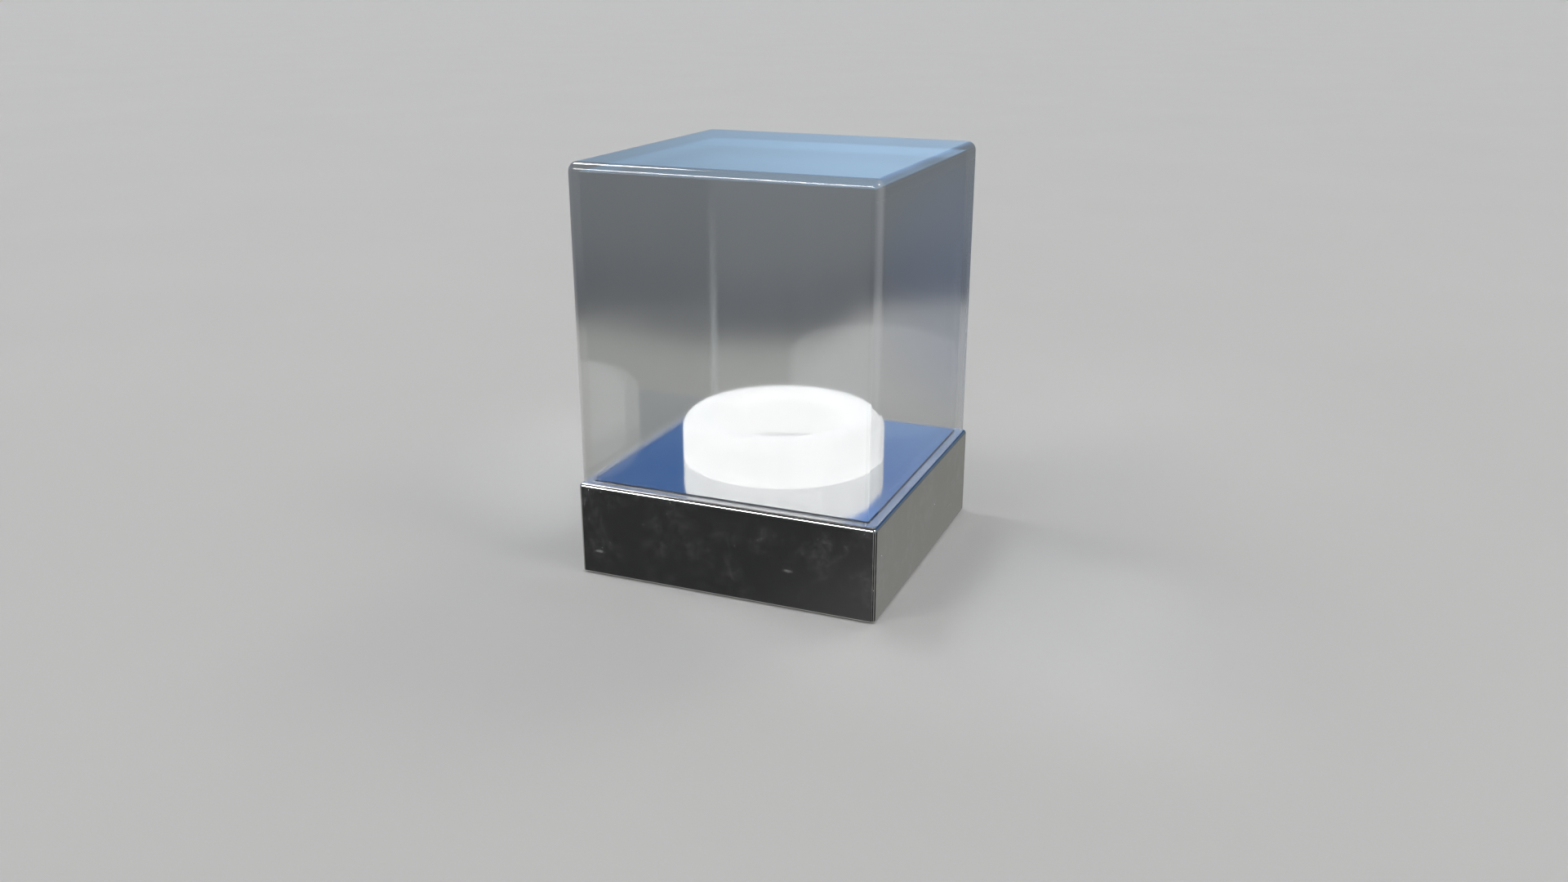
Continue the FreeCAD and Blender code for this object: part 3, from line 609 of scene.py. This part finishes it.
def cover_loops():
    """The shell's section: from its ceiling down its inside, round its rim and up its outside to its top."""
    top_low, top_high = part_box("cover_top_panel")
    front_low, front_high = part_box("cover_front_panel")
    outer, inner = top_high.x, -front_high.y
    ceiling, top = top_low.z, top_high.z
    rim = front_low.z + LEDGE_GAP
    quarter = [index / ARC_STEPS * math.pi / 2 for index in range(ARC_STEPS + 1)]
    coarse = quarter[::2]

    def corner_of_ceiling(angle):
        across, up = COVER_FILLET * math.cos(angle), COVER_FILLET * math.sin(angle)
        return outline(inner - COVER_FILLET + across, across, ceiling - COVER_FILLET + up)

    def inside_of_rim(angle):
        across, down = COVER_LIP * math.cos(angle), COVER_LIP * math.sin(angle)
        return outline(inner + COVER_LIP - across, COVER_FILLET, rim + COVER_LIP - down)

    def outside_of_rim(angle):
        across, down = COVER_LIP * math.cos(angle), COVER_LIP * math.sin(angle)
        return outline(outer - COVER_LIP + across, COVER_EDGE - COVER_LIP + across, rim + COVER_LIP - down)

    def edge_of_top(angle):
        across, up = COVER_EDGE * math.cos(angle), COVER_EDGE * math.sin(angle)
        return outline(outer - COVER_EDGE + across, across, top - COVER_EDGE + up)

    loops = [corner_of_ceiling(angle) for angle in reversed(quarter)]
    loops += [inside_of_rim(angle) for angle in coarse]
    loops += [outside_of_rim(angle) for angle in reversed(coarse)]
    loops += [edge_of_top(angle) for angle in quarter]
    return loops


def coil(name, low, high, wire, turns):
    """A compression spring along Y that fills the box from low to high. wire is its wire's radius."""
    per_turn, around = 32, 10
    middle = (low + high) / 2
    radius = (high.x - low.x) / 2 - wire
    run = high.y - low.y - 2 * wire
    along = Vector((0.0, 1.0, 0.0))
    loops = []
    for step in range(turns * per_turn + 1):
        angle = 2 * math.pi * step / per_turn
        outward = Vector((math.cos(angle), 0.0, math.sin(angle)))
        centre = Vector((middle.x, low.y + wire + run * step / (turns * per_turn), middle.z))
        centre += outward * radius
        loop = []
        for index in range(around):
            turned = 2 * math.pi * index / around
            offset = outward * math.cos(turned) + along * math.sin(turned)
            loop.append(centre + offset * wire)
        loops.append(loop)
    return loft(name, loops)


# ---- the pieces ----


def dress(material, *nodes):
    """Puts the material on CAD nodes that keep their shape."""
    for name in nodes:
        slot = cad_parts[name].material_slots[0]
        slot.link = "OBJECT"
        slot.material = material


cover_shell = loft("cover_shell", cover_loops())
cover_shell.data.materials.append(acrylic())
weighted(cover_shell)
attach(cover_shell, "cover")
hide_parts(*PANELS)

dress(chrome(), "base_shell")
dress(mirror(), "mirror_deck")
dress(opal(), "ring_diffuser")
dress(
    metal("bare_aluminium", (0.70, 0.71, 0.72), (0.60, 0.61, 0.62), 0.3, 0.5),
    "ring_carrier",
    "board_standoffs",
    "corner_posts",
)
dress(
    metal("zinc_screw", (0.66, 0.66, 0.64), (0.50, 0.50, 0.47), 0.25, 0.5),
    "diffuser_screws",
    "carrier_screws",
    "board_screws",
    "tray_screws",
    "plate_screws",
    "hinge_screws",
    "switch_nut",
)
spring_strip = metal(
    "spring_strip", (0.72, 0.71, 0.68), (0.55, 0.54, 0.51), 0.18, 0.36, 0.0003, (1, 30, 1), 0.00001
)
dress(spring_strip, "battery_contacts", "hinge_leaf", "hinge_pin")

spring_low, spring_high = (Vector(corner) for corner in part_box("switch_spring"))
return_spring = coil("return_spring", spring_low, spring_high, SPRING_WIRE, SPRING_TURNS)
return_spring.data.materials.append(spring_strip)
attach(return_spring, "base")
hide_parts("switch_spring")
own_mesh(return_spring)
dress(metal("magnet_plating", (0.62, 0.61, 0.59), (0.5, 0.5, 0.48), 0.12, 0.3), "catch_magnets")
dress(circuit("white_board", (0.78, 0.78, 0.75), (0.70, 0.70, 0.66)), "led_board")
dress(circuit("green_board", (0.012, 0.085, 0.035), (0.03, 0.16, 0.07)), "driver_board")
dress(plastic("lamp_chip", (0.90, 0.78, 0.30), (0.93, 0.84, 0.45), 0.3, 0.5), "led_chips")
dress(
    plastic("black_moulding", (0.012, 0.012, 0.012), (0.022, 0.022, 0.022), 0.45, 0.7),
    "lead_bush",
    "driver_chip",
    "battery_tray",
    "switch_body",
    "power_button",
)
dress(
    plastic("white_moulding", (0.74, 0.73, 0.68), (0.80, 0.79, 0.75), 0.35, 0.55),
    "board_sockets",
    "lead_plugs",
)
dress(
    plastic("lead_sheath", (0.014, 0.014, 0.014), (0.03, 0.03, 0.03), 0.5, 0.7),
    "ring_lead",
    "battery_lead",
    "switch_lead",
)
dress(
    plastic("black_rubber", (0.01, 0.01, 0.01), (0.03, 0.03, 0.03), 0.7, 0.9, 0.0005, 0.00005),
    "rubber_feet",
)
dress(winding(), "driver_inductor")
dress(
    metal("capacitor_can", (0.20, 0.22, 0.27), (0.27, 0.29, 0.33), 0.25, 0.45),
    "driver_capacitors",
)
dress(jacket(), "battery_cells")
dress(
    plastic("painted_plate", (0.035, 0.035, 0.037), (0.05, 0.05, 0.053), 0.38, 0.55, 0.0006, 0.00006),
    "bottom_plate",
    "battery_door",
)

# ---- floor and lamps ----


def direction(azimuth, elevation):
    """From the object towards that side. Azimuth 0 is the front, and 90 the right."""
    a, e = math.radians(azimuth), math.radians(elevation)
    return Vector((math.sin(a) * math.cos(e), -math.cos(a) * math.cos(e), math.sin(e)))


def floor():
    """A pale floor that polished and clear surfaces don't show."""
    mesh = bpy.data.meshes.new("floor")
    signs = ((-1, -1), (1, -1), (1, 1), (-1, 1))
    corners = [(x * FLOOR_REACH, y * FLOOR_REACH, 0.0) for x, y in signs]
    mesh.from_pydata(corners, [], [(0, 1, 2, 3)])
    made = bpy.data.objects.new("floor", mesh)
    made.data.materials.append(paper())
    made.visible_glossy = False
    made.visible_transmission = False
    bpy.context.scene.collection.objects.link(made)


def soft_lamp(name, azimuth):
    """Even light from one side, with a soft shadow. Reflections don't show it."""
    data = bpy.data.lights.new(name, "SUN")
    data.energy = LAMP_STRENGTH
    data.angle = math.radians(LAMP_SPREAD)
    made = bpy.data.objects.new(name, data)
    towards = direction(azimuth, LAMP_ELEVATION)
    made.location = towards * 2.0
    made.rotation_mode = "QUATERNION"
    made.rotation_quaternion = towards.to_track_quat("Z", "Y")
    made.visible_transmission = False
    made.visible_glossy = False
    bpy.context.scene.collection.objects.link(made)


# ---- what polished and clear surfaces show ----


def stops_by_height(stops):
    return [((math.sin(math.radians(elevation)) + 1) / 2, colour) for elevation, colour in stops]


def stops_by_side(stops):
    return [((sideways + 1) / 2, (value, value, value)) for sideways, value in stops]


def window_place(paint, upwards, path):
    """Where the window is. A ray that has only passed through the walls doesn't see it."""
    behind = paint.nearness(direction(WINDOW_SIDE, 0))
    place = paint.product(
        paint.span(behind, 0.15, 0.6, smooth=True),
        paint.product(
            paint.span(upwards, -0.02, 0.06, smooth=True),
            paint.span(upwards, 0.62, 0.50, smooth=True),
        ),
    )
    straight = paint.product(
        path.outputs["Is Transmission Ray"],
        paint.math("LESS_THAN", path.outputs["Glossy Depth"], 0.5),
    )
    return paint.product(place, paint.math("SUBTRACT", 1.0, straight))


def lit_floor_place(paint, sideways, depth, upwards):
    """The lit floor behind, below a slanting edge."""
    slope = paint.math("SUBTRACT", upwards, paint.product(sideways, FLOOR_SLANT))
    beyond = paint.product(paint.span(depth, 0.5, 0.7), paint.span(sideways, 0.0, -0.1))
    below = paint.span(upwards, -0.225, -0.25)
    return paint.product(paint.span(slope, 0.202, 0.180, smooth=True), beyond, below)


def patch(paint, azimuth, elevation, edge, inside, colour, over):
    """A soft round patch of colour in that direction, over what is there."""
    nearness = paint.nearness(direction(azimuth, elevation))
    return paint.mix(paint.span(nearness, edge, inside, smooth=True), over, colour)


def panel(paint, azimuth, elevation, reach, heights, edge, colour, over):
    """A lit panel between two heights, out to where the dot product with the direction is reach."""
    side = paint.nearness(direction(azimuth, elevation))
    upwards = paint.parts()["Z"]
    bottom, top = heights
    tall = paint.product(
        paint.span(upwards, bottom, bottom + edge),
        paint.span(upwards, top, top - edge),
    )
    inside = paint.product(tall, paint.span(side, reach, reach + edge))
    return paint.mix(inside, over, colour)


def surroundings():
    """What polished faces and the cover's walls show.

    It's a pale room with dark patches in front, and a blue window light and a patch of lit floor
    behind. The camera sees a plain backdrop instead, and dull surfaces get an even sky.
    """
    world = bpy.data.worlds.new("studio")
    bpy.context.scene.world = world
    world.use_nodes = True
    paint = Paint(world, "Generated")
    path = paint.add("ShaderNodeLightPath")
    sideways, depth, upwards = paint.parts()
    right = paint.span(sideways, -1.0, 1.0)
    tilt = paint.math("SUBTRACT", paint.ramp(right, stops_by_side(HORIZON)), HORIZON_LEVEL)
    height = paint.span(paint.math("SUBTRACT", upwards, tilt), -1.0, 1.0)

    def lit(stops, light):
        level = paint.product(paint.ramp(right, stops_by_side(light)), 2.0)
        return paint.times(paint.ramp(height, stops_by_height(stops)), level)

    window = window_place(paint, upwards, path)
    around = paint.mix(window, lit(ROOM, ROOM_LIGHT), lit(WINDOW, WINDOW_LIGHT))
    around = paint.mix(lit_floor_place(paint, sideways, depth, upwards), around, LIT_FLOOR)
    for place in PATCHES:
        around = patch(paint, *place, around)
    for place in PANELS_OF_LIGHT:
        around = panel(paint, *place, around)

    seen = paint.mix(path.outputs["Is Camera Ray"], OPEN_SKY, BACKDROP)
    seen = paint.mix(path.outputs["Is Glossy Ray"], seen, around)
    background = paint.tree.nodes["Background"]
    paint.plug(background.inputs["Color"], seen)
    background.inputs["Strength"].default_value = 1.0
    world.cycles.sampling_method = "NONE"


floor()
surroundings()
for side, azimuth in LAMP_AZIMUTHS:
    soft_lamp(f"{side}_lamp", azimuth)

camera = bpy.data.objects.new("camera", bpy.data.cameras.new("camera"))
camera.data.lens = CAMERA_LENS
camera.data.sensor_width = SENSOR_WIDTH
camera.data.clip_start = 0.01
towards_camera = direction(*PHOTO_SIDE)
camera.location = AIM + towards_camera * CAMERA_DISTANCE
camera.rotation_mode = "QUATERNION"
camera.rotation_quaternion = towards_camera.to_track_quat("Z", "Y")
bpy.context.scene.collection.objects.link(camera)
bpy.context.scene.camera = camera
bpy.context.scene.view_settings.view_transform = "Standard"
